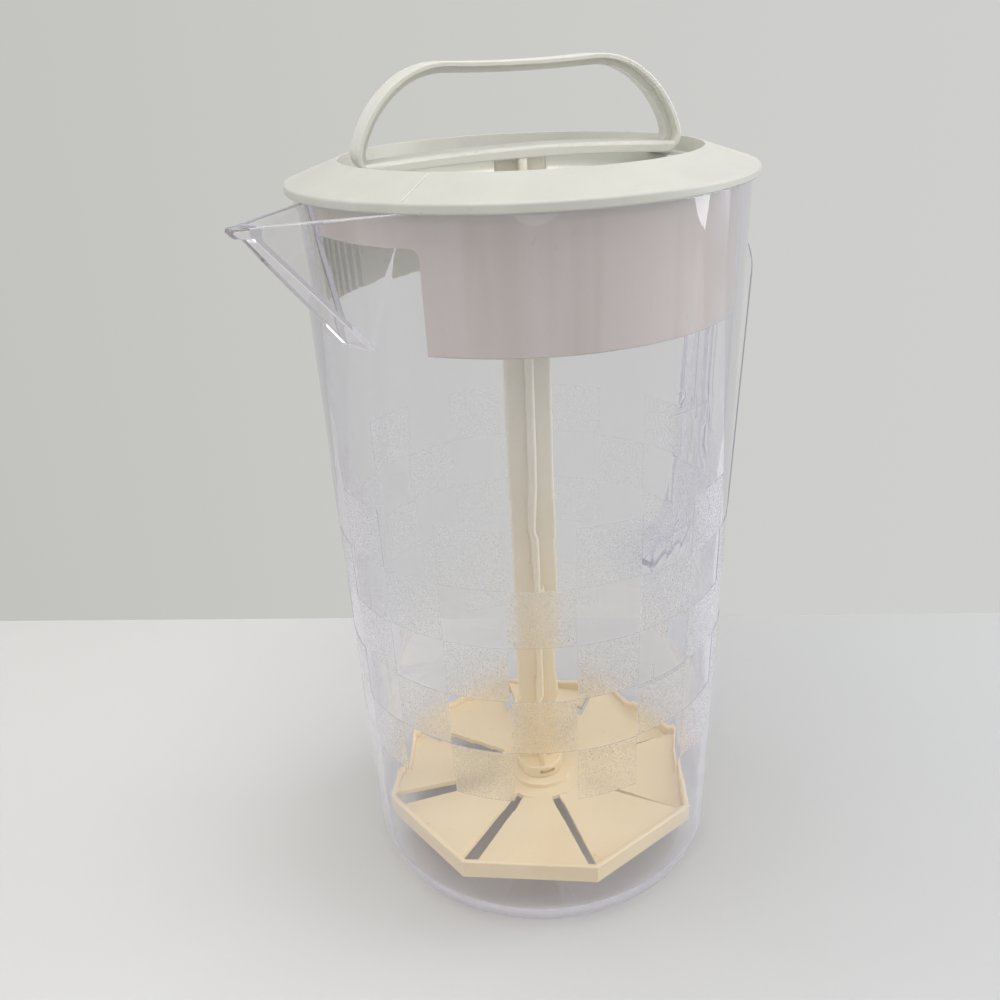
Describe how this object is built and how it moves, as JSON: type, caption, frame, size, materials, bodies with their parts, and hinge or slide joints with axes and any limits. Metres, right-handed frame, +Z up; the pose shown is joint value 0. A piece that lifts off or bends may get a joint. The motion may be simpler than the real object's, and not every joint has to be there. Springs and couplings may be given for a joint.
{
  "type": "stirring pitcher",
  "caption": "Clear tapered pitcher with a pour spout, a strap handle, a deep-skirted lid and a hand plunger whose slotted disc stirs the drink.",
  "frame": {"origin": "centre of the body's flat underside", "axes": "+Z up along the body's axis; the spout points along -X and the strap handle along +X"},
  "size_m": [0.2129, 0.1336, 0.2625],
  "materials": {
    "clear_plastic": "clear gloss, faintly lilac",
    "white_plastic": "satin warm white",
    "cream_plastic": "satin cream"
  },
  "bodies": {
    "pitcher": {"pitcher_body": "clear_plastic", "strap_handle": "clear_plastic"},
    "lid": {"lid": "white_plastic"},
    "plunger": {"grip": "white_plastic", "plunger_rod": "white_plastic", "mixing_disc": "cream_plastic"}
  },
  "joints": [
    {"name": "lid_lift", "type": "slide", "parent": "pitcher", "child": "lid", "axis": [0, 0, 1], "range_m": [0, 0.235]},
    {"name": "plunger_slide", "type": "slide", "parent": "lid", "child": "plunger", "axis": [0, 0, 1], "range_m": [0, 0.19]}
  ]
}
